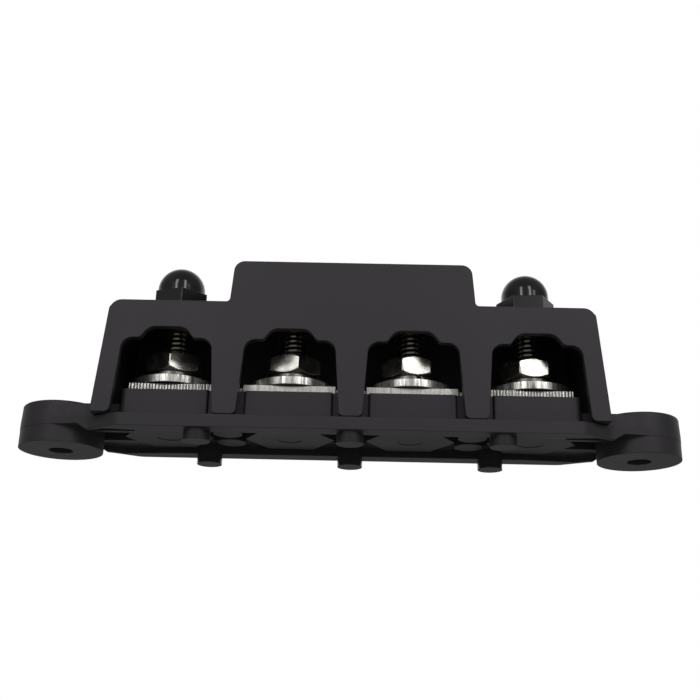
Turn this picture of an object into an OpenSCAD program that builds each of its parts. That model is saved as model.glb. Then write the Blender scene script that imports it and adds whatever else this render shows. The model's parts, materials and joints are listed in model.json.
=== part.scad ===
// Bus bar terminal block: four threaded studs joined by one plated bar on a moulded base with
// screw ears, under a lift-off cover that two cap nuts hold down on the outer studs.
// X runs along the row of studs, -Y is the cable side, and Z rises from the mounting plane.

/* [Studs] */
// Distance between neighbouring studs
stud_pitch = 30; // [28:0.5:38]
// Thread diameter of the studs
stud_d = 8; // [6:0.25:9]
// Chamfer at the tip of the studs
stud_chamfer = 0.9; // [0.3:0.1:1.5]
// How far the studs reach above the shoulders of the cover
stud_proud = 8; // [6:0.5:9]
// Hexagon of the moulded-in stud heads, across flats
head_af = 13; // [11:0.5:14]
// Height of the stud heads
head_h = 5.3; // [4:0.1:5.8]

/* [Nuts and washers] */
// Hexagon of the terminal nuts, across flats
nut_af = 13; // [12:0.5:17]
// Height of the terminal nuts
nut_h = 5.7; // [4:0.1:7]
// Angle of the chamfers on the nut corners
nut_chamfer_angle = 40; // [20:1:45]
// How far those chamfers run in from the flats
nut_chamfer_in = 0.6; // [0.1:0.05:0.8]
// Outside diameter of the flat washers
washer_d = 21.2; // [17:0.1:22]
// Thickness of the flat washers
washer_t = 2.1; // [1:0.1:2.5]
// Outside diameter of the split lock washers
lock_d = 13.8; // [13:0.1:17]
// Thickness of the split lock washers
lock_t = 1.9; // [1.5:0.1:3]
// Width of the slit in the lock washers
lock_gap = 1; // [0.5:0.1:2]
// Slant of that slit
lock_slant = 30; // [10:1:45]

/* [Bus bar] */
// Width of the bar
bar_w = 18.6; // [17:0.1:22]
// Thickness of the bar
bar_t = 2.25; // [1:0.05:4]
// How far the bar runs past the outer studs
bar_end = 9.8; // [8:0.1:10]
// Width of the notches in the bar's edges
bar_notch_w = 7.4; // [4:0.1:8]
// Depth of those notches
bar_notch_depth = 2.8; // [1:0.1:5]
// Corner cut at the ends of the bar
bar_corner = 0.6; // [0.3:0.1:4]

/* [Base] */
// Height of the feet pins below the rim
foot_h = 2.6; // [1.5:0.1:5]
// Width over the flange
flange_w = 32.4; // [31:0.1:40]
// Thickness of the flange
flange_t = 3.1; // [2:0.1:4]
// How far the flange keeps its full width past the outer studs
flange_reach = 10; // [5:0.5:11]
// Rounding of the flange's corners in plan
flange_corner = 4; // [1:0.5:8]
// How far the flange's taper runs past the outer studs
taper_reach = 17.3; // [14:0.1:20]
// Width of the flange where that taper ends
taper_w = 24; // [21:0.1:28]
// Distance from the outer studs to the mounting holes
ear_reach = 26.75; // [25:0.25:36]
// Diameter of the mounting holes
hole_d = 6; // [4:0.1:8]
// Radius of the ear bosses below the plate
boss_r = 10.25; // [9:0.05:12]
// Radius of the plate around the ears
ear_r = 10.3; // [9:0.05:12]
// Height of the plate's underside around the ears
ear_z = 4.1; // [3:0.1:5]
// How far the rim keeps level past the outer studs before it rises to the ears
rise_reach = 18; // [10:0.1:20]
// Length of that rise
rise_run = 2.5; // [2:0.1:10]
// Height of the ears' top face
ear_top = 10.3; // [8.5:0.1:11]
// Draft of the ears and the neck
ear_draft = 2.5; // [0.5:0.5:5]
// Rounding of the ears' top edge
ear_edge = 0.6; // [0.3:0.1:1.5]
// Height of the neck between each ear and the seat
neck_top = 9.6; // [8:0.1:10]
// Width of the neck at its foot
neck_w = 19.6; // [12:0.1:20]
// Side walls of the neck's coring
neck_wall = 2.8; // [1:0.1:3]
// Thickness of the neck over its coring
neck_t = 2.2; // [1.5:0.1:3]
// Height of the seat that carries the bar
seat_top = 12.95; // [12.5:0.05:14]
// Width of the seat
seat_w = 23.2; // [22:0.1:25]
// How far the seat runs past the outer studs
seat_end = 10.7; // [9.9:0.1:11.5]
// Width of the upright grooves in the seat's sides
seat_groove_w = 8.8; // [8:0.1:10]
// Depth of those grooves
seat_groove_depth = 0.8; // [0.6:0.1:2]
// Rounding of the edges of those grooves
seat_groove_r = 0.5; // [0.1:0.1:0.5]
// Rounding of the upright corners of the seat
seat_corner = 1.6; // [0.3:0.1:2]
// Moulding over the stud heads
head_cover = 1.65; // [1:0.05:2.5]
// Moulding around the stud heads
pad_wall = 3.1; // [2:0.1:3.5]
// Moulding under the stud heads
pad_floor = 2.1; // [1.5:0.1:2.4]
// Groove between the hexagon pads and the rim
pad_gap = 1.5; // [0.5:0.1:1.8]
// How far the pads stand out of the underside pocket
pad_proud = 1.3; // [0.8:0.1:1.6]
// Diameter of the shallow mark in each pad
pad_mark_d = 6.5; // [3:0.1:10]
// Depth of that mark
pad_mark_depth = 0.15; // [0.05:0.05:0.5]
// Half width of the coring between the pads
core_half = 7; // [4:0.1:8]
// Thickness of the deck over the coring
deck_t = 2.75; // [1.5:0.05:4]
// Diameter of the paired posts in the coring
post_d = 7.1; // [5:0.1:8]
// Distance between the posts of a pair
post_gap = 8.8; // [7.5:0.1:10]
// Diameter of the feet pins at their tips
pin_d = 6.4; // [4:0.1:7]
// Draft of the feet pins
pin_draft = 2; // [0.5:0.5:4]
// Distance between the two rows of feet pins
pin_rows = 24.2; // [22:0.1:26]
// Distance from the middle of the block to the outer feet pins
pin_reach = 36.4; // [34:0.1:38]
// Distance between the two ribs at each end of the pocket
end_rib_gap = 9.4; // [6:0.1:14]
// Thickness of those ribs
end_rib_t = 1.6; // [0.8:0.1:3]
// Rim beside the tapered ends of the pocket
end_wall = 1.5; // [1:0.1:3]
// Plate over the tapered ends of the pocket
end_plate = 1.4; // [1:0.1:2]

/* [Cover] */
// Wall thickness of the cover
cover_wall = 2; // [1.5:0.1:2.5]
// Width of the cover at its bottom edge
cover_w = 31.4; // [30:0.1:36]
// How far the cover reaches past the outer studs at its bottom edge
cover_reach = 16.6; // [15:0.05:18]
// Gap between the flange and the bottom edge of the cover
cover_gap = 0.3; // [0.1:0.1:1]
// Height of the shoulders that the cap nuts seat on
shoulder_top = 35.1; // [33:0.1:42]
// How far the raised middle reaches past the inner studs
raised_reach = 15.35; // [12:0.05:16]
// Room between the inner studs and the roof of the raised middle
tip_room = 1.1; // [0.3:0.1:4]
// Draft of the end walls, entries and sides of the raised middle
end_draft = 4; // [1:0.1:5]
// Draft of the front and back walls
face_draft = 2.1; // [0.5:0.1:3]
// Rounding of the outer corners of the shoulders
shoulder_r = 3; // [2.1:0.1:5]
// Rounding of the corners of the raised middle
raised_r = 2.7; // [2.1:0.1:5]
// Fillet where the raised middle rises from the shoulders
step_r = 1; // [0.3:0.1:3]
// Width of the pillars between the cable entries, at the bottom
pillar_w = 5.5; // [4:0.1:8]
// Width of the legs outside the end entries
leg_w = 4.55; // [3:0.05:5.5]
// Rounding at the foot of the pillars
pillar_foot_r = 1.2; // [0.3:0.1:2]
// Height of the square part of the cable entries
entry_top = 25; // [22:0.1:27]
// Rounding of the upper corners of the entries
entry_r = 2.8; // [0.5:0.1:4]
// Width of the arch in the middle of each entry, at its foot
arch_w = 13; // [11.5:0.1:14]
// Width of the flat crown of the arch, before it is rounded
arch_crown_w = 8.8; // [7:0.1:10]
// How far the crown lies above the square part's top
arch_rise = 2.95; // [2.5:0.05:3.5]
// Rounding of the crown's corners
arch_r = 3.2; // [1:0.1:3.5]
// Fillet at the foot of the arch
arch_foot_r = 1.4; // [0.3:0.1:1.6]

/* [Cap nuts] */
// Hexagon of the cap nuts, across flats
cap_af = 13; // [12:0.5:15]
// Height of the hexagon of the cap nuts
cap_hex_h = 6.5; // [4:0.1:8]
// Diameter of the dome
dome_d = 12.2; // [11:0.1:13]
// Height of the cap nuts over the dome
cap_h = 14.1; // [13.5:0.1:18]

/* [Fits] */
// Radial play of the nuts on the studs
thread_fit = 0.05; // [0.02:0.01:0.1]
// Play of the moulding around the studs and their heads
mould_fit = 0.03; // [0.01:0.01:0.1]
// Radial play of the bar and washers on the studs
washer_fit = 0.2; // [0.1:0.05:0.5]
// Radial play of the cover on the studs
cover_fit = 0.4; // [0.2:0.05:0.8]
// Play between the cover's end walls and the neck of the base
neck_fit = 0.3; // [0.1:0.05:1]

/* [Hidden] */
$fn = 64;
SIDES = [-1, 1];
STUDS = [1:4];

BLACK_MOULDING = "#343234";
BLACK_NYLON = "#1d1d1f";
TIN_PLATE = "#d3d3cf";
NICKEL_PLATE = "#bdbdb9";

// Overshoot of a cut past the face that it opens
cut = 1;
// How far the circle of a rounding stands over the edges that it joins, so that it crosses both cleanly
ease = 0.002;
// How each nut and each slit came to rest when it was done up, in degrees
nut_turn = [28, 44, 11, 4.5];
lock_turn = [60, 150, 288, 200];
cap_turn = [41, 57];

// Levels, from the mounting plane up
rim_z = foot_h;
flange_top = rim_z + flange_t;
head_top = seat_top - head_cover;
head_z = head_top - head_h;
pad_z = head_z - pad_floor;
pocket_top = pad_z + pad_proud;
core_top = seat_top - deck_t;
bar_top = seat_top + bar_t;
washer_top = bar_top + washer_t;
lock_top = washer_top + lock_t;
cover_z = flange_top + cover_gap;
stud_tip = shoulder_top + stud_proud;
raised_top = stud_tip + tip_room + cover_wall;

// Reaches along the row, from the middle of the block
function stud_x(i) = (i - 2.5) * stud_pitch;
outer_x = stud_x(4);
inner_x = stud_x(3);
ear_x = outer_x + ear_reach;
pad_af = head_af + 2 * pad_wall;
pocket_w = pad_af + 2 * pad_gap;
full_x = outer_x + flange_reach;
taper_x = outer_x + taper_reach;
cover_end = outer_x + cover_reach;
raised_half = inner_x + raised_reach;

// Where the drafted faces of the cover stand at height z
function end_face(z) = cover_end - (z - cover_z) * tan(end_draft);
function raised_face(z) = raised_half - (z - shoulder_top) * tan(end_draft);
function front_face(z) = cover_w / 2 - (z - cover_z) * tan(face_draft);
function pillar_face(z) = pillar_w / 2 + (z - cover_z) * tan(end_draft);

function unit(v) = v / norm(v);
function turns_left(a, p, b) = cross(p - a, b - p) > 0;

// What lies between the corner at p, on the way from a to b, and the arc that rounds it, drawn past p
module corner(a, p, b, r) {
    u = unit(a - p);
    v = unit(b - p);
    inward = unit(u + v);
    half = acos(u * v) / 2;
    reach = r / tan(half);
    difference() {
        polygon([p - inward * cut, p + u * reach, p + v * reach]);
        translate(p + inward * (r / sin(half) - ease)) circle(r);
    }
}

// Polygon drawn anticlockwise with a radius for each point: outer corners are cut, inner ones filled
module rounded(points, radii) {
    n = len(points);
    difference() {
        union() {
            polygon(points);
            for (i = [0:n - 1]) {
                a = points[(i + n - 1) % n];
                b = points[(i + 1) % n];
                if (radii[i] > 0 && !turns_left(a, points[i], b)) corner(a, points[i], b, radii[i]);
            }
        }
        for (i = [0:n - 1]) {
            a = points[(i + n - 1) % n];
            b = points[(i + 1) % n];
            if (radii[i] > 0 && turns_left(a, points[i], b)) corner(a, points[i], b, radii[i]);
        }
    }
}

// Extrusion along X of an outline drawn in Y and Z, and along Y of one drawn in X and Z
module along_x(length) rotate([90, 0, 90]) linear_extrude(length, center = true) children();
module along_y(length) rotate([90, 0, 0]) linear_extrude(length, center = true) children();

module hexagon(af, h) cylinder(h = h, d = af / cos(30), $fn = 6);

// Hexagon whose corners are turned back by a cone at both ends
module chamfered_hexagon(af, h) {
    corner_r = af / cos(30) / 2;
    flat_r = af / 2 - nut_chamfer_in;
    drop = (corner_r - flat_r) * tan(nut_chamfer_angle);
    intersection() {
        hexagon(af, h);
        rotate_extrude() polygon([
            [0, 0], [flat_r, 0], [corner_r, drop], [corner_r, h - drop], [flat_r, h], [0, h]
        ]);
    }
}

module ring(d, bore_r, h) {
    difference() {
        cylinder(h = h, d = d);
        translate([0, 0, -cut]) cylinder(h = h + 2 * cut, r = bore_r);
    }
}

// Plan of the flange: full width along the studs, drawn in to the ears at both ends
module flange_plan() {
    half = flange_w / 2;
    drawn = taper_w / 2;
    rounded(
        [[-full_x, -half], [full_x, -half], [taper_x, -drawn],
         [ear_x, -ear_r], [ear_x, ear_r], [taper_x, drawn],
         [full_x, half], [-full_x, half], [-taper_x, drawn],
         [-ear_x, ear_r], [-ear_x, -ear_r], [-taper_x, -drawn]],
        [for (end = [0:1]) each [flange_corner, flange_corner, flange_corner, 0, 0, flange_corner]]
    );
    for (side = SIDES) translate([side * ear_x, 0]) circle(ear_r);
}

module ear() {
    top_r = ear_r - (ear_top - flange_top) * tan(ear_draft);
    cylinder(h = flange_top, r = boss_r);
    rotate_extrude()
        rounded([[0, flange_top], [ear_r, flange_top], [top_r, ear_top], [0, ear_top]], [0, 0, ear_edge, 0]);
}

// Slab that ties both ears to the seat and carries the end walls of the cover
module neck() {
    low = neck_w / 2;
    high = low - (neck_top - rim_z) * tan(ear_draft);
    along_x(2 * ear_x)
        polygon([[-low, rim_z], [low, rim_z], [high, neck_top], [-high, neck_top]]);
}

// Seat for the bar, with upright grooves between the studs in both long sides
module seat() {
    half = outer_x + seat_end;
    edge = seat_w / 2;
    inner = edge - seat_groove_depth;
    groove = seat_groove_w / 2;
    front = [
        [-half, -edge],
        for (x = [-stud_pitch, 0, stud_pitch])
            each [[x - groove, -edge], [x - groove, -inner], [x + groove, -inner], [x + groove, -edge]],
        [half, -edge]
    ];
    radii = [seat_corner, for (i = [1:3]) each [seat_groove_r, 0, 0, seat_groove_r], seat_corner];
    translate([0, 0, rim_z]) linear_extrude(seat_top - rim_z)
        rounded(concat(front, [for (p = front) -p]), concat(radii, radii));
}

// Hexagon pads under the stud heads, paired posts, end ribs and ear bosses that stand in the pocket
module underside_bosses() {
    tall = core_top - pad_z + cut;
    translate([0, 0, pad_z]) {
        for (i = STUDS) translate([stud_x(i), 0, 0]) hexagon(pad_af, tall);
        for (x = SIDES * stud_pitch, side = SIDES)
            translate([x, side * post_gap / 2, 0]) cylinder(h = tall, d = post_d);
        for (end = SIDES, side = SIDES)
            translate([end * (outer_x + ear_x) / 2, side * end_rib_gap / 2, tall / 2])
                cube([ear_x - outer_x, end_rib_t, tall], center = true);
    }
    for (side = SIDES) translate([side * ear_x, 0, -cut]) cylinder(h = ear_top, r = boss_r);
}

// Plan of one tapered end of the pocket, from the outer stud to the ear
module pocket_end_plan() {
    start = pocket_w / 2;
    middle = (flange_w + taper_w) / 4 - end_wall;
    drawn = taper_w / 2 - end_wall;
    finish = ear_r - end_wall;
    middle_x = (full_x + taper_x) / 2;
    polygon([
        [outer_x, -start], [middle_x, -middle], [taper_x, -drawn], [ear_x, -finish],
        [ear_x, finish], [taper_x, drawn], [middle_x, middle], [outer_x, start]
    ]);
}

module underside_pocket() {
    neck_half = neck_w / 2 - neck_wall;
    rise_x = outer_x + rise_reach;
    past = ear_x + 2 * ear_r;
    difference() {
        union() {
            translate([-outer_x, -pocket_w / 2, rim_z - cut])
                cube([2 * outer_x, pocket_w, pocket_top - rim_z + cut]);
            translate([-outer_x, -core_half, rim_z])
                cube([2 * outer_x, 2 * core_half, core_top - rim_z]);
            translate([-ear_x, -neck_half, rim_z])
                cube([2 * ear_x, 2 * neck_half, neck_top - neck_t - rim_z]);
            for (end = [0:1]) mirror([end, 0, 0]) {
                translate([0, 0, rim_z - cut])
                    linear_extrude(flange_top - end_plate - rim_z + cut) pocket_end_plan();
                along_y(2 * flange_w) polygon([
                    [rise_x, rim_z], [rise_x, -cut], [past, -cut], [past, ear_z], [rise_x + rise_run, ear_z]
                ]);
            }
        }
        underside_bosses();
    }
    for (i = STUDS) translate([stud_x(i), 0, pad_z - cut])
        cylinder(h = pad_mark_depth + cut, d = pad_mark_d);
}

module feet_pins() {
    root_d = pin_d + 2 * pocket_top * tan(pin_draft);
    for (x = [-pin_reach, 0, pin_reach], side = SIDES)
        translate([x, side * pin_rows / 2, 0]) cylinder(h = pocket_top, d1 = pin_d, d2 = root_d);
}

module base() {
    color(BLACK_MOULDING) {
        difference() {
            union() {
                translate([0, 0, rim_z]) linear_extrude(flange_t) flange_plan();
                for (side = SIDES) translate([side * ear_x, 0, 0]) ear();
                neck();
                seat();
            }
            underside_pocket();
            for (i = STUDS) translate([stud_x(i), 0, head_z]) {
                hexagon(head_af + 2 * mould_fit, head_h);
                cylinder(h = seat_top - head_z + cut, r = stud_d / 2 + mould_fit);
            }
            for (side = SIDES) translate([side * ear_x, 0, -cut]) cylinder(h = ear_top + 2 * cut, d = hole_d);
        }
        feet_pins();
    }
}

module stud(i) {
    color(NICKEL_PLATE) translate([stud_x(i), 0, 0]) {
        translate([0, 0, head_z]) hexagon(head_af, head_h);
        translate([0, 0, head_z]) cylinder(h = stud_tip - stud_chamfer - head_z, d = stud_d);
        translate([0, 0, stud_tip - stud_chamfer])
            cylinder(h = stud_chamfer, d1 = stud_d, d2 = stud_d - 2 * stud_chamfer);
    }
}

module bus_bar() {
    end = outer_x + bar_end;
    half = bar_w / 2;
    color(TIN_PLATE) translate([0, 0, seat_top]) linear_extrude(bar_t) difference() {
        polygon([
            [-end + bar_corner, -half], [end - bar_corner, -half], [end, -half + bar_corner],
            [end, half - bar_corner], [end - bar_corner, half], [-end + bar_corner, half],
            [-end, half - bar_corner], [-end, -half + bar_corner]
        ]);
        for (x = [-stud_pitch, 0, stud_pitch], side = SIDES)
            translate([x, side * half]) square([bar_notch_w, 2 * bar_notch_depth], center = true);
        for (i = STUDS) translate([stud_x(i), 0]) circle(stud_d / 2 + washer_fit);
    }
}

module flat_washer(i) {
    color(NICKEL_PLATE) translate([stud_x(i), 0, bar_top]) ring(washer_d, stud_d / 2 + washer_fit, washer_t);
}

module lock_washer(i) {
    color(NICKEL_PLATE) translate([stud_x(i), 0, washer_top]) difference() {
        ring(lock_d, stud_d / 2 + washer_fit, lock_t);
        rotate(lock_turn[i - 1]) translate([lock_d / 2, 0, lock_t / 2]) rotate([lock_slant, 0, 0])
            cube([lock_d, lock_gap, 4 * lock_t], center = true);
    }
}

module terminal_nut(i) {
    color(NICKEL_PLATE) translate([stud_x(i), 0, lock_top]) rotate(nut_turn[i - 1]) difference() {
        chamfered_hexagon(nut_af, nut_h);
        translate([0, 0, -cut]) cylinder(h = nut_h + 2 * cut, r = stud_d / 2 + thread_fit);
    }
}

// Envelope of the cover drawn in by a wall thickness: drafted fronts and ends meet as two extrusions
module cover_envelope(inset, bottom) {
    low = end_face(bottom) - inset;
    shoulder_z = shoulder_top - inset;
    top_z = raised_top - inset;
    shoulder = end_face(shoulder_z) - inset;
    step = raised_face(shoulder_z) - inset;
    top = raised_face(top_z) - inset;
    side_low = front_face(bottom) - inset;
    side_top = front_face(top_z) - inset;
    intersection() {
        along_y(2 * cover_w) rounded(
            [[-low, bottom], [low, bottom], [shoulder, shoulder_z], [step, shoulder_z],
             [top, top_z], [-top, top_z], [-step, shoulder_z], [-shoulder, shoulder_z]],
            [0, 0, shoulder_r - inset, step_r + inset, raised_r - inset,
             raised_r - inset, step_r + inset, shoulder_r - inset]
        );
        along_x(3 * cover_end)
            polygon([[-side_low, bottom], [side_low, bottom], [side_top, top_z], [-side_top, top_z]]);
    }
}

// Side of the cable entry in front of stud i at height z, to the left (-1) or the right (1)
function entry_side(i, side, z) =
    (i == 1 && side < 0) || (i == 4 && side > 0)
        ? side * (end_face(z) - leg_w)
        : stud_x(i) + side * (stud_pitch / 2 - pillar_face(z));

// Cable entry in front of stud i: open at the foot, square shoulders and a flat-crowned arch
module entry(i) {
    below = cover_z - cut;
    flare = 2 * pillar_foot_r;
    left = entry_side(i, -1, cover_z);
    right = entry_side(i, 1, cover_z);
    arch = arch_w / 2;
    crown = arch_crown_w / 2;
    crown_z = entry_top + arch_rise;
    x = stud_x(i);
    rounded(
        [[left - flare, below], [right + flare, below], [right + flare, cover_z], [right, cover_z],
         [entry_side(i, 1, entry_top), entry_top], [x + arch, entry_top], [x + crown, crown_z],
         [x - crown, crown_z], [x - arch, entry_top], [entry_side(i, -1, entry_top), entry_top],
         [left, cover_z], [left - flare, cover_z]],
        [0, 0, 0, pillar_foot_r, entry_r, arch_foot_r, arch_r,
         arch_r, arch_foot_r, entry_r, pillar_foot_r, 0]
    );
}

module cover() {
    color(BLACK_MOULDING) difference() {
        cover_envelope(0, cover_z);
        cover_envelope(cover_wall, cover_z - cut);
        for (i = STUDS) translate([0, -cover_w / 2, 0]) along_y(cover_w / 2) entry(i);
        translate([-cover_end - cut, -neck_w / 2 - neck_fit, 0])
            cube([2 * (cover_end + cut), neck_w + 2 * neck_fit, neck_top + neck_fit]);
        for (side = SIDES) translate([side * outer_x, 0, 0])
            cylinder(h = raised_top, r = stud_d / 2 + cover_fit);
    }
}

module cap_nut(side) {
    bore_r = stud_d / 2 + thread_fit;
    bore_depth = stud_proud + cut;
    dome_z = cap_h - dome_d / 2;
    turn = side < 0 ? cap_turn[0] : cap_turn[1];
    color(BLACK_NYLON) translate([side * outer_x, 0, shoulder_top]) rotate(turn)
        difference() {
            union() {
                hexagon(cap_af, cap_hex_h);
                cylinder(h = dome_z, d = dome_d);
                translate([0, 0, dome_z]) sphere(d = dome_d);
            }
            translate([0, 0, -cut]) cylinder(h = bore_depth + cut, r = bore_r);
            translate([0, 0, bore_depth]) cylinder(h = bore_r * tan(30), r1 = bore_r, r2 = 0);
        }
}

base();
bus_bar();
cover();
cap_nut(-1);  // cap_nut_left
cap_nut(1);  // cap_nut_right
for (i = STUDS) {
    stud(i);
    flat_washer(i);
    lock_washer(i);
    terminal_nut(i);
}
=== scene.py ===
# Bus bar terminal block: moulded edges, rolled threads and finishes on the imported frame
import json
import math

import bmesh
import bpy
from mathutils import Matrix, Vector


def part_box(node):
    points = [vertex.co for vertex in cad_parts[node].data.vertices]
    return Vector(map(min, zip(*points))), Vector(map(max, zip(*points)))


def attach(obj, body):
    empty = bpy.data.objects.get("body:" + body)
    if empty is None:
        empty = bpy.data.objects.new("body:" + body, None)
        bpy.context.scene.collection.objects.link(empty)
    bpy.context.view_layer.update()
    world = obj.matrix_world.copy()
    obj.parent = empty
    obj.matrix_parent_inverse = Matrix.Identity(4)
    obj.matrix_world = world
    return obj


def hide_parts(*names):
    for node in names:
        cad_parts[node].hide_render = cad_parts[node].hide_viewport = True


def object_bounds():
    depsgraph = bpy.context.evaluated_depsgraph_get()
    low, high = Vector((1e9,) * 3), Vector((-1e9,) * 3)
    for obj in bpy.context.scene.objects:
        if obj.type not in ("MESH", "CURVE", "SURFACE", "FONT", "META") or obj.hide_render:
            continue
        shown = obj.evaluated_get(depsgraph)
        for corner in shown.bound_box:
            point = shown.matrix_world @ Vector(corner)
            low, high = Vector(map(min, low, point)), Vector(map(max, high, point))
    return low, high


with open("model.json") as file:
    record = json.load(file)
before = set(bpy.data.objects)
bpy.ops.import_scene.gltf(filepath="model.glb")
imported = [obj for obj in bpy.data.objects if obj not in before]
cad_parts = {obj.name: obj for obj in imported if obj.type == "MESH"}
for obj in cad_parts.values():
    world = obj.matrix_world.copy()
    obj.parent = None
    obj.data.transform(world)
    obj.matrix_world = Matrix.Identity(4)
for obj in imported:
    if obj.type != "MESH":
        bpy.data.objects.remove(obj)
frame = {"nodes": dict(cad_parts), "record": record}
cad_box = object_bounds()
scene = bpy.context.scene

MM = 0.001
STUDS = (1, 2, 3, 4)

# Camera: stands in front of the block and below its mounting plane, and looks up at it
CAMERA_PLACE = Vector((0.7, -242.25, -57.83)) * MM
CAMERA_PITCH = math.radians(19.51)
CAMERA_YAW = math.radians(-0.28)
CAMERA_ROLL = math.radians(1.23)
CAMERA_CLIP = 0.01
FOCAL_PIXELS = 998.06
FRAME_PIXELS = 700
SENSOR_MM = 36

# Edge radii that turning, rolling and punching leave on the hardware, and moulding on the cover's long edges
EDGE_RADII = {
    "cover": 0.5 * MM,
    "bus_bar": 0.18 * MM,
    "cap_nut": 0.2 * MM,
    "flat_washer": 0.22 * MM,
    "lock_washer": 0.18 * MM,
    "terminal_nut": 0.12 * MM,
}
EDGE_SEGMENTS = 3
EDGE_ANGLE = math.radians(28)
FLAT_ANGLE = math.radians(0.4)
MERGE = 0.0005 * MM
SLIVER = 0.02 * MM
MOST_SIDES = 4

# The cover's long edges: lowest height of their middles, and how squarely a wall faces the front or the back
COVER_EDGE_LOW = 33.2 * MM
WALL_FACING = 0.9

# M8 coarse thread of the studs, its flats as shares of the pitch
THREAD_PITCH = 1.25 * MM
THREAD_DEPTH = 0.6134 * THREAD_PITCH
THREAD_STEPS = 40
THREAD_RUN_IN = 2 * THREAD_PITCH
THREAD_JOIN = SLIVER / 4
ROOT_FLAT = 1 / 8
CREST_FROM = 2 / 5
CREST_TO = 3 / 5
TIP_CHAMFER = 0.9 * MM
HEAD_BEYOND_SHANK = 1.2

# Range in which most values of a noise texture lie
NOISE = (0.3, 0.7)

# Black moulding: sizes of grain and flow marks, roughness and tones across the flow, and radius of its edges
GRAIN_MM = 0.35
GRAIN_STRENGTH = 0.12
GRAIN_HEIGHT = 0.05 * MM
FLOW_MM = 14
MOULD_ROUGHNESS = (0.48, 0.54)
MOULD_TONES = ("#242224", "#2a282a")
MOULD_RADIUS = 0.3 * MM

# Feet pins: how far they stand from the middle of the block, lengthwise, crosswise and upwards, and their sides
PINS_REACH = (55 * MM, 15.8 * MM, 5.7 * MM)
PINS_FACING = -0.5
PINS_ROUGHNESS = 0.16

# Cap nuts: height where their satin hexagons end and their shiny domes begin, and both skins
HEXAGONS_TO = 41.4 * MM
DOMES_FROM = 41.8 * MM
HEXAGON_ROUGHNESS = 0.28
DOME_ROUGHNESS = (0.11, 0.15)
DOME_WAVE_MM = 3
DOME_WAVE_STRENGTH = 0.15
DOME_WAVE_HEIGHT = 0.05 * MM

# Plated steel: size and height of the waviness under the plating
PLATING_MM = 2.2
PLATING_HEIGHT = 0.1 * MM

# Sheared metal: size of its upright marks, how they fade from rim to flat, and where the painted shade on
# undersides and the specks begin
SHEAR_MM = 0.7
SHEAR_UPRIGHT = (1.0, 1.0, 0.08)
SHEAR_STRENGTH = 0.8
SHEAR_HEIGHT = 0.03 * MM
RIM_TO_FLAT = (0.3, 0.8)
FLAT_SHARE = 0.12
UNDERSIDE_SHADE = (-0.9, -0.5)
SPECKS = (0.46, 0.62)

# Ticks of the bar: where along the block they begin to grow and are full, their spacing and the dirt in them
END_MARKS_FROM = 26 * MM
END_MARKS_FULL = 34 * MM
TICK_MM = 0.75
WAVE_TURNS = 20
TICK_GRIME = 0.12

# Floor: its half width, and how far it lies below the block
FLOOR_REACH = 2.0
FLOOR_DROP = 0.3 * MM

# World: fill on matt skins, then what shiny ones see: a studio by height, dim sides and a white rear sheet
FILL = 1.5
STUDIO = ((0.0, 0.25), (0.42, 0.27), (0.5, 0.35), (0.6, 0.41), (0.78, 0.41), (0.88, 0.32), (1.0, 0.28))
SIDE_LEVEL = 0.6
SIDES = (0.65, 0.9)
REAR = (0.3, 0.8)
HORIZON = (-0.1, 0.05)

# Lamps: two upright soft boxes in front, and two small cards further out that the nuts' turned faces mirror
LAMPS = {
    "left_box": {"azimuth": -21.6, "elevation": 30, "distance": 0.8, "size": (0.12, 0.42), "power": 1.0},
    "right_box": {"azimuth": 21.6, "elevation": 30, "distance": 0.8, "size": (0.12, 0.42), "power": 1.0},
    "left_card": {"azimuth": -37, "elevation": 19, "distance": 0.8, "size": (0.09, 0.1), "power": 0.08},
    "right_card": {"azimuth": 41, "elevation": 20, "distance": 0.8, "size": (0.13, 0.13), "power": 0.26},
}


def linear(hex_colour):
    """Linear RGBA of an sRGB hex colour."""
    parts = [int(hex_colour[i:i + 2], 16) / 255 for i in (1, 3, 5)]
    return [p / 12.92 if p <= 0.04045 else ((p + 0.055) / 1.055) ** 2.4 for p in parts] + [1.0]


def add(tree, kind, inputs=None, **settings):
    """Adds a node with its settings, and fills its sockets with values or links."""
    made = tree.nodes.new(kind)
    for name, value in settings.items():
        setattr(made, name, value)
    for name, value in (inputs or {}).items():
        if isinstance(value, bpy.types.NodeSocket):
            tree.links.new(value, made.inputs[name])
        else:
            made.inputs[name].default_value = value
    return made


def spread(value, start, stop, first=0.0, last=1.0):
    """Sockets of a Map Range node that takes start to first and stop to last."""
    return {"Value": value, "From Min": start, "From Max": stop, "To Min": first, "To Max": last}


def new_material(name):
    """A material with its nodes cleared, and its node tree."""
    material = bpy.data.materials.new(name)
    material.use_nodes = True
    material.node_tree.nodes.clear()
    return material, material.node_tree


def per_mm(size_mm):
    """Texture scale whose features measure about size_mm in object coordinates, which are metres."""
    return 1 / (size_mm * MM)


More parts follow.
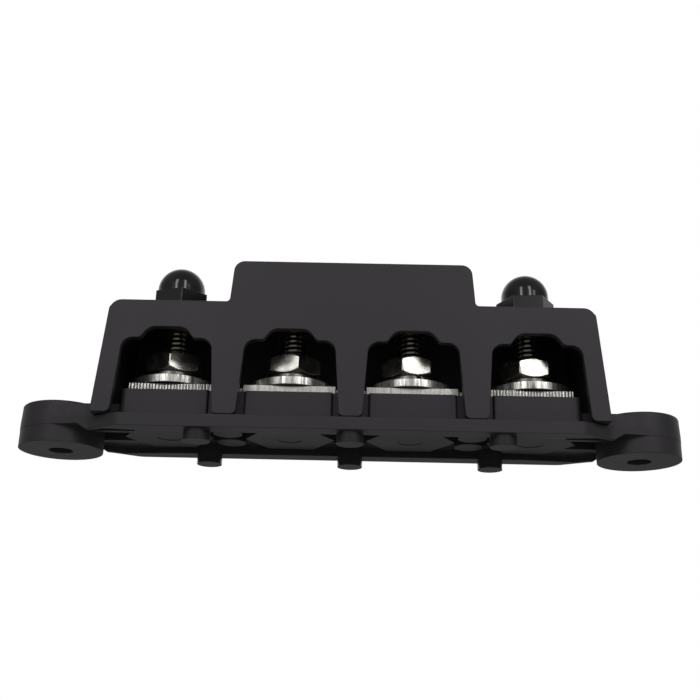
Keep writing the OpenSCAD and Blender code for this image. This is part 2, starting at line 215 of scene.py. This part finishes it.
def black_moulding():
    """Glass-filled nylon, moulded black: an even, slightly satin black with a fine eroded grain and soft edges,
    and a smoother skin on the feet pins, whose bores in the mould are reamed."""
    material, tree = new_material("black_moulded_nylon")
    coordinates = add(tree, "ShaderNodeTexCoord")
    place = coordinates.outputs["Object"]
    grain = add(tree, "ShaderNodeTexNoise", {
        "Vector": place, "Scale": per_mm(GRAIN_MM), "Detail": 2.0, "Roughness": 0.6})
    flow = add(tree, "ShaderNodeTexNoise", {"Vector": place, "Scale": per_mm(FLOW_MM), "Detail": 3.0})
    rough = add(tree, "ShaderNodeMapRange", spread(flow.outputs["Fac"], *NOISE, *MOULD_ROUGHNESS))
    spot = add(tree, "ShaderNodeVectorMath", {0: place}, operation="ABSOLUTE")
    spot = add(tree, "ShaderNodeSeparateXYZ", {"Vector": spot.outputs["Vector"]})
    facing = add(tree, "ShaderNodeSeparateXYZ", {"Vector": coordinates.outputs["Normal"]})
    pins = add(tree, "ShaderNodeMath", {0: facing.outputs["Z"], 1: PINS_FACING}, operation="GREATER_THAN")
    for axis, reach in zip("XYZ", PINS_REACH):
        within = add(tree, "ShaderNodeMath", {0: spot.outputs[axis], 1: reach}, operation="LESS_THAN")
        pins = add(tree, "ShaderNodeMath", {0: pins.outputs["Value"], 1: within.outputs["Value"]},
                   operation="MULTIPLY")
    rough = add(tree, "ShaderNodeMapRange",
                spread(pins.outputs["Value"], 0.0, 1.0, rough.outputs["Result"], PINS_ROUGHNESS))
    tone = add(tree, "ShaderNodeValToRGB", {"Fac": flow.outputs["Fac"]})
    for stop, colour in zip(tone.color_ramp.elements, MOULD_TONES):
        stop.color = linear(colour)
    soft = add(tree, "ShaderNodeBevel", {"Radius": MOULD_RADIUS}, samples=4)
    bump = add(tree, "ShaderNodeBump", {
        "Height": grain.outputs["Fac"], "Strength": GRAIN_STRENGTH, "Distance": GRAIN_HEIGHT,
        "Normal": soft.outputs["Normal"]})
    shader = add(tree, "ShaderNodeBsdfPrincipled", {
        "Base Color": tone.outputs["Color"], "Roughness": rough.outputs["Result"],
        "Normal": bump.outputs["Normal"], "IOR": 1.5, "Specular IOR Level": 0.34,
        "Specular Tint": linear("#fff9ff")})
    add(tree, "ShaderNodeOutputMaterial", {"Surface": shader.outputs["BSDF"]})
    return material


def gloss_nylon():
    """Unfilled black nylon: domes smoother and shinier than the mouldings, with a faint moulded waviness, over
    hexagons with a satin skin."""
    material, tree = new_material("black_gloss_nylon")
    place = add(tree, "ShaderNodeTexCoord").outputs["Object"]
    wave = add(tree, "ShaderNodeTexNoise", {"Vector": place, "Scale": per_mm(DOME_WAVE_MM), "Detail": 2.0})
    rough = add(tree, "ShaderNodeMapRange", spread(wave.outputs["Fac"], *NOISE, *DOME_ROUGHNESS))
    spot = add(tree, "ShaderNodeSeparateXYZ", {"Vector": place})
    rough = add(tree, "ShaderNodeMapRange", spread(
        spot.outputs["Z"], HEXAGONS_TO, DOMES_FROM, HEXAGON_ROUGHNESS, rough.outputs["Result"]))
    bump = add(tree, "ShaderNodeBump", {
        "Height": wave.outputs["Fac"], "Strength": DOME_WAVE_STRENGTH, "Distance": DOME_WAVE_HEIGHT})
    shader = add(tree, "ShaderNodeBsdfPrincipled", {
        "Base Color": linear("#0f0f10"), "Roughness": rough.outputs["Result"],
        "Normal": bump.outputs["Normal"], "IOR": 1.53, "Specular IOR Level": 0.36})
    add(tree, "ShaderNodeOutputMaterial", {"Surface": shader.outputs["BSDF"]})
    return material


def plated_steel(name, colour, smoothest, roughest, waviness):
    """Nickel-plated steel: bright, faintly warm, with soft waviness under the plating and fine wear."""
    material, tree = new_material(name)
    place = add(tree, "ShaderNodeTexCoord").outputs["Object"]
    cloud = add(tree, "ShaderNodeTexNoise", {"Vector": place, "Scale": per_mm(PLATING_MM), "Detail": 3.0})
    rough = add(tree, "ShaderNodeMapRange", spread(cloud.outputs["Fac"], *NOISE, smoothest, roughest))
    bump = add(tree, "ShaderNodeBump", {
        "Height": cloud.outputs["Fac"], "Strength": waviness, "Distance": PLATING_HEIGHT})
    shader = add(tree, "ShaderNodeBsdfPrincipled", {
        "Base Color": linear(colour), "Metallic": 1.0, "Roughness": rough.outputs["Result"],
        "Normal": bump.outputs["Normal"]})
    add(tree, "ShaderNodeOutputMaterial", {"Surface": shader.outputs["BSDF"]})
    return material


def sheared_plate(name, colour, dull_and_shade, smoothest, roughest, ticks=0.0, grit=0.0):
    """Punched and plated metal: bright faces, painted shade that darkens the faces turned downwards, and rims with
    the faint upright marks of shearing. Ticks are clear marks that grow towards the two ends of the block, and
    grit is darker specks in the marks."""
    material, tree = new_material(name)
    coordinates = add(tree, "ShaderNodeTexCoord")
    place = coordinates.outputs["Object"]
    upright = add(tree, "ShaderNodeMapping", {"Vector": place, "Scale": SHEAR_UPRIGHT})
    marks = add(tree, "ShaderNodeTexNoise", {
        "Vector": upright.outputs["Vector"], "Scale": per_mm(SHEAR_MM), "Detail": 4.0, "Roughness": 0.65})
    spot = add(tree, "ShaderNodeSeparateXYZ", {"Vector": place})
    along = add(tree, "ShaderNodeMath", {0: spot.outputs["X"]}, operation="ABSOLUTE")
    ends = add(tree, "ShaderNodeMapRange",
               spread(along.outputs["Value"], END_MARKS_FROM, END_MARKS_FULL, 0.0, ticks))
    tick = add(tree, "ShaderNodeTexWave", {
        "Vector": upright.outputs["Vector"], "Scale": per_mm(WAVE_TURNS * TICK_MM / math.tau),
        "Distortion": 2.5, "Detail": 2.0, "Detail Scale": 1.5})
    tick = add(tree, "ShaderNodeMath", {0: tick.outputs["Fac"], 1: ends.outputs["Result"]}, operation="MULTIPLY")
    height = add(tree, "ShaderNodeMath", {0: marks.outputs["Fac"], 1: tick.outputs["Value"]}, operation="ADD")
    facing = add(tree, "ShaderNodeSeparateXYZ", {"Vector": coordinates.outputs["Normal"]})
    flat = add(tree, "ShaderNodeMath", {0: facing.outputs["Z"]}, operation="ABSOLUTE")
    rim = add(tree, "ShaderNodeMapRange", spread(flat.outputs["Value"], *RIM_TO_FLAT, 1.0, FLAT_SHARE))
    height = add(tree, "ShaderNodeMath", {0: height.outputs["Value"], 1: rim.outputs["Result"]},
                 operation="MULTIPLY")
    # Painted shade: faces turned downwards blend to the darker colour
    under = add(tree, "ShaderNodeMapRange", spread(facing.outputs["Z"], *UNDERSIDE_SHADE, 1.0, 0.0))
    grime = add(tree, "ShaderNodeMath", {0: tick.outputs["Value"], 1: TICK_GRIME}, operation="MULTIPLY")
    specks = add(tree, "ShaderNodeMapRange", spread(marks.outputs["Fac"], *SPECKS, 0.0, grit))
    dirt_and_shade = add(tree, "ShaderNodeMath", {0: under.outputs["Result"], 1: grime.outputs["Value"]},
                operation="MAXIMUM")
    dirt_and_shade = add(tree, "ShaderNodeMath", {0: dirt_and_shade.outputs["Value"], 1: specks.outputs["Result"]},
                operation="MAXIMUM")
    # The darker colour carries painted shade on undersides as well as dirt in the ticks and grit specks
    tone = add(tree, "ShaderNodeMixRGB", {
        "Fac": dirt_and_shade.outputs["Value"], "Color1": linear(colour), "Color2": linear(dull_and_shade)})
    rough = add(tree, "ShaderNodeMapRange", spread(marks.outputs["Fac"], *NOISE, smoothest, roughest))
    bump = add(tree, "ShaderNodeBump", {
        "Height": height.outputs["Value"], "Strength": SHEAR_STRENGTH, "Distance": SHEAR_HEIGHT})
    shader = add(tree, "ShaderNodeBsdfPrincipled", {
        "Base Color": tone.outputs["Color"], "Metallic": 1.0, "Roughness": rough.outputs["Result"],
        "Normal": bump.outputs["Normal"]})
    add(tree, "ShaderNodeOutputMaterial", {"Surface": shader.outputs["BSDF"]})
    return material


def floor_paper():
    """Matt white paper: shows and takes shadows from above, and lets a view from below pass."""
    material, tree = new_material("matt_white_paper")
    behind = add(tree, "ShaderNodeNewGeometry").outputs["Backfacing"]
    paper = add(tree, "ShaderNodeBsdfDiffuse", {"Color": linear("#f6f6f4")})
    clear = add(tree, "ShaderNodeBsdfTransparent")
    mixed = add(tree, "ShaderNodeMixShader", {0: behind, 1: paper.outputs["BSDF"], 2: clear.outputs["BSDF"]})
    add(tree, "ShaderNodeOutputMaterial", {"Surface": mixed.outputs["Shader"]})
    return material


def body_of_node(node):
    """Name of the body that a CAD node belongs to."""
    return next(body for body, members in frame["record"]["behaviour"]["bodies"].items() if node in members)


def finish_piece(bm, node, material):
    """Turns a bmesh into the piece that stands for a CAD node, with smooth bevels beside flat faces."""
    mesh = bpy.data.meshes.new(node + "_finished")
    bm.to_mesh(mesh)
    bm.free()
    stale = mesh.attributes.get("custom_normal")
    if stale:
        mesh.attributes.remove(stale)
    mesh.shade_smooth()
    mesh.set_sharp_from_angle(angle=EDGE_ANGLE)
    mesh.materials.append(material)
    piece = bpy.data.objects.new(node + "_finished", mesh)
    scene.collection.objects.link(piece)
    weighted = piece.modifiers.new("even_faces", "WEIGHTED_NORMAL")
    weighted.keep_sharp = True
    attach(piece, body_of_node(node))
    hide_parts(node)


def merged(node):
    """A copy of a CAD node with its faces joined into whole flats."""
    bm = bmesh.new()
    bm.from_mesh(frame["nodes"][node].data)
    bmesh.ops.remove_doubles(bm, verts=bm.verts, dist=MERGE)
    bmesh.ops.dissolve_degenerate(bm, dist=SLIVER, edges=bm.edges)
    bmesh.ops.dissolve_limit(bm, angle_limit=FLAT_ANGLE, verts=bm.verts, edges=bm.edges)
    return bm


def sharp_edges(bm):
    """Edges where two faces meet at a clear angle."""
    return [edge for edge in bm.edges if len(edge.link_faces) == 2 and edge.calc_face_angle() > EDGE_ANGLE]


def soften(bm, edges, radius):
    """Rounds the given edges, and leaves no edge without length and no face with many sides."""
    bmesh.ops.bevel(bm, geom=edges, offset=radius, offset_type="OFFSET", segments=EDGE_SEGMENTS, profile=0.5,
                    affect="EDGES", material=-1, clamp_overlap=False)
    bmesh.ops.dissolve_degenerate(bm, dist=MERGE, edges=bm.edges)
    bmesh.ops.triangulate(bm, faces=[face for face in bm.faces if len(face.verts) > MOST_SIDES])


def softened(node, radius):
    """A merged copy of a CAD node with its sharp edges rounded."""
    bm = merged(node)
    soften(bm, sharp_edges(bm), radius)
    return bm


def softened_cover():
    """The cover with only its long outer edges rounded."""
    bm = merged("cover")
    soften(bm, long_top_edges(bm), EDGE_RADII["cover"])
    return bm


def long_top_edges(bm):
    """Outer edges of the cover where its front or back wall turns into the shoulders and the raised top."""
    chosen = []
    for edge in sharp_edges(bm):
        facing = max(abs(face.normal.y) for face in edge.link_faces)
        middle = (edge.verts[0].co + edge.verts[1].co) / 2
        if facing > WALL_FACING and edge.calc_face_angle_signed() > 0 and middle.z > COVER_EDGE_LOW:
            chosen.append(edge)
    return chosen


def thread(axis, radius, low, high):
    """Mesh of a closed upright rod with a helical thread between two heights, its tip turned to a chamfer."""
    bm = bmesh.new()
    root = radius - THREAD_DEPTH
    profile = [(root, 0), (root, ROOT_FLAT), (radius, CREST_FROM), (radius, CREST_TO), (root, 1 - ROOT_FLAT),
               (root, 1)]
    start = low - THREAD_RUN_IN
    verts = [bm.verts.new((r, 0, start + part * THREAD_PITCH)) for r, part in profile]
    edges = [bm.edges.new(pair) for pair in zip(verts, verts[1:])]
    bmesh.ops.spin(bm, geom=verts + edges, cent=(0, 0, 0), axis=(0, 0, 1),
                   dvec=(0, 0, THREAD_PITCH / THREAD_STEPS), angle=math.tau, steps=THREAD_STEPS)
    turn = bm.verts[:] + bm.edges[:] + bm.faces[:]
    for count in range(1, math.ceil((high - start) / THREAD_PITCH) + 1):
        copy = bmesh.ops.duplicate(bm, geom=turn)["geom"]
        bmesh.ops.translate(bm, vec=(0, 0, count * THREAD_PITCH),
                            verts=[item for item in copy if isinstance(item, bmesh.types.BMVert)])
    bmesh.ops.remove_doubles(bm, verts=bm.verts, dist=THREAD_JOIN)
    for level, outward in ((low, -1), (high, 1)):
        bmesh.ops.bisect_plane(bm, geom=bm.verts[:] + bm.edges[:] + bm.faces[:], dist=MERGE,
                               plane_co=(0, 0, level), plane_no=(0, 0, outward), clear_outer=True)
        rim = [edge for edge in bm.edges if edge.is_boundary and abs(edge.verts[0].co.z - level) < SLIVER]
        bmesh.ops.contextual_create(bm, geom=rim)
    for vert in bm.verts:
        away = vert.co * Vector((1, 1, 0))
        limit = radius - max(0, vert.co.z - (high - TIP_CHAMFER))
        if away.length > limit:
            vert.co -= away * (1 - limit / away.length)
    bmesh.ops.recalc_face_normals(bm, faces=bm.faces)
    bmesh.ops.translate(bm, vec=axis, verts=bm.verts)
    mesh = bpy.data.meshes.new("thread")
    bm.to_mesh(mesh)
    bm.free()
    return mesh


def threaded_stud(node):
    """Stud with its hexagon head as built and a rolled thread in place of the plain shank."""
    low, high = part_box(node)
    axis = Vector(((low.x + high.x) / 2, (low.y + high.y) / 2, 0))
    bm = merged(node)
    away = {vert: (vert.co.xy - axis.xy).length for vert in bm.verts}
    shank = max(away[vert] for vert in bm.verts if vert.co.z > (low.z + high.z) / 2)
    head_top = max(vert.co.z for vert in bm.verts if away[vert] > HEAD_BEYOND_SHANK * shank)
    bmesh.ops.bisect_plane(bm, geom=bm.verts[:] + bm.edges[:] + bm.faces[:], dist=MERGE,
                           plane_co=(0, 0, head_top), plane_no=(0, 0, 1), clear_outer=True)
    bmesh.ops.holes_fill(bm, edges=[edge for edge in bm.edges if edge.is_boundary])
    bm.from_mesh(thread(axis, shank, head_top - THREAD_PITCH, high.z))
    return bm


def lay_floor():
    """A plain pale sheet under the block, clear from below because the camera looks up through it."""
    bm = bmesh.new()
    bmesh.ops.create_grid(bm, x_segments=1, y_segments=1, size=FLOOR_REACH,
                          matrix=Matrix.Translation((0, 0, cad_box[0].z - FLOOR_DROP)))
    mesh = bpy.data.meshes.new("floor")
    bm.to_mesh(mesh)
    bm.free()
    mesh.materials.append(floor_paper())
    floor = bpy.data.objects.new("floor", mesh)
    scene.collection.objects.link(floor)
    floor.visible_shadow = False
    floor.visible_diffuse = False
    floor.visible_glossy = False
    floor.visible_transmission = False


def light_world():
    """A white backdrop behind the block, and a greyer studio in front of it, darker below and at the sides."""
    world = bpy.data.worlds.new("studio")
    scene.world = world
    world.use_nodes = True
    tree = world.node_tree
    tree.nodes.clear()
    path = add(tree, "ShaderNodeLightPath")
    way = add(tree, "ShaderNodeSeparateXYZ", {"Vector": add(tree, "ShaderNodeTexCoord").outputs["Generated"]})
    height = add(tree, "ShaderNodeMapRange", spread(way.outputs["Z"], -1.0, 1.0))
    studio = add(tree, "ShaderNodeValToRGB", {"Fac": height.outputs["Result"]})
    stops = studio.color_ramp.elements
    stops[0].position, stops[1].position = STUDIO[0][0], STUDIO[-1][0]
    for position, _ in STUDIO[1:-1]:
        stops.new(position)
    for stop, (_, grey) in zip(stops, STUDIO):
        stop.color = (grey, grey, grey, 1.0)
    rear = add(tree, "ShaderNodeMapRange", spread(way.outputs["Y"], *REAR))
    above = add(tree, "ShaderNodeMapRange", spread(way.outputs["Z"], *HORIZON))
    backdrop = add(tree, "ShaderNodeMath", {0: rear.outputs["Result"], 1: above.outputs["Result"]},
                   operation="MULTIPLY")
    seen = add(tree, "ShaderNodeMath",
               {0: path.outputs["Is Glossy Ray"], 1: path.outputs["Is Transmission Ray"]}, operation="MAXIMUM")
    white = add(tree, "ShaderNodeMath", {0: backdrop.outputs["Value"], 1: seen.outputs["Value"]},
                operation="MULTIPLY")
    white = add(tree, "ShaderNodeMath", {0: white.outputs["Value"], 1: path.outputs["Is Camera Ray"]},
                operation="MAXIMUM")
    sideways = add(tree, "ShaderNodeMath", {0: way.outputs["X"]}, operation="ABSOLUTE")
    sides = add(tree, "ShaderNodeMapRange", spread(sideways.outputs["Value"], *SIDES, 1.0, SIDE_LEVEL))
    level = add(tree, "ShaderNodeMapRange",
                spread(seen.outputs["Value"], 0.0, 1.0, FILL, sides.outputs["Result"]))
    dim = add(tree, "ShaderNodeBackground",
              {"Color": studio.outputs["Color"], "Strength": level.outputs["Result"]})
    sheet = add(tree, "ShaderNodeBackground", {"Color": linear("#ffffff"), "Strength": 1.0})
    sky = add(tree, "ShaderNodeMixShader",
              {0: white.outputs["Value"], 1: dim.outputs["Background"], 2: sheet.outputs["Background"]})
    add(tree, "ShaderNodeOutputWorld", {"Surface": sky.outputs["Shader"]})


def hang_lamps():
    """The lamps, each turned to the middle of the block."""
    centre = (cad_box[0] + cad_box[1]) / 2
    for name, lamp in LAMPS.items():
        data = bpy.data.lights.new(name, "AREA")
        data.shape = "RECTANGLE"
        data.size, data.size_y = lamp["size"]
        data.energy = lamp["power"]
        azimuth, elevation = math.radians(lamp["azimuth"]), math.radians(lamp["elevation"])
        towards = Vector((math.sin(azimuth) * math.cos(elevation), -math.cos(azimuth) * math.cos(elevation),
                          math.sin(elevation)))
        box = bpy.data.objects.new(name, data)
        box.location = centre + towards * lamp["distance"]
        box.rotation_euler = towards.to_track_quat("Z", "Y").to_euler()
        scene.collection.objects.link(box)


def place_camera():
    """The camera that sees the block as the photo does."""
    lens = bpy.data.cameras.new("camera")
    lens.sensor_width = SENSOR_MM
    lens.lens = FOCAL_PIXELS / FRAME_PIXELS * SENSOR_MM
    lens.clip_start = CAMERA_CLIP
    camera = bpy.data.objects.new("camera", lens)
    camera.matrix_world = (
        Matrix.Translation(CAMERA_PLACE) @ Matrix.Rotation(-CAMERA_YAW, 4, "Z")
        @ Matrix.Rotation(math.pi / 2 + CAMERA_PITCH, 4, "X") @ Matrix.Rotation(CAMERA_ROLL, 4, "Z"))
    scene.collection.objects.link(camera)
    scene.camera = camera
    scene.view_settings.view_transform = "Standard"


black = black_moulding()
gloss = gloss_nylon()
nut_steel = plated_steel("nickel_plated_nuts", "#c6c4bd", 0.19, 0.29, waviness=0.08)
stud_steel = plated_steel("nickel_plated_studs", "#d8d6cf", 0.1, 0.18, waviness=0.03)
washer_steel = sheared_plate("punched_plated_steel", "#d6d5cf", "#2e2d2c", 0.24, 0.4, grit=0.75)
# The lock washers' plated steel is a darker copy of the washers' steel: painted shade for the narrow gap between
# nut and flat washer where they sit
spring_steel_painted_shade = sheared_plate("plated_spring_steel", "#6d6b66", "#2c2b2a", 0.2, 0.4)
tin = sheared_plate("tin_plated_copper_bar", "#c6c5c0", "#5c5b58", 0.2, 0.4, ticks=6.0)

finish_piece(merged("base"), "base", black)
finish_piece(softened_cover(), "cover", black)
finish_piece(softened("bus_bar", EDGE_RADII["bus_bar"]), "bus_bar", tin)
for side in ("left", "right"):
    finish_piece(softened(f"cap_nut_{side}", EDGE_RADII["cap_nut"]), f"cap_nut_{side}", gloss)
for i in STUDS:
    for kind, metal in (("flat_washer", washer_steel), ("lock_washer", spring_steel_painted_shade), ("terminal_nut", nut_steel)):
        finish_piece(softened(f"{kind}_{i}", EDGE_RADII[kind]), f"{kind}_{i}", metal)
    finish_piece(threaded_stud(f"stud_{i}"), f"stud_{i}", stud_steel)

lay_floor()
light_world()
hang_lamps()
place_camera()
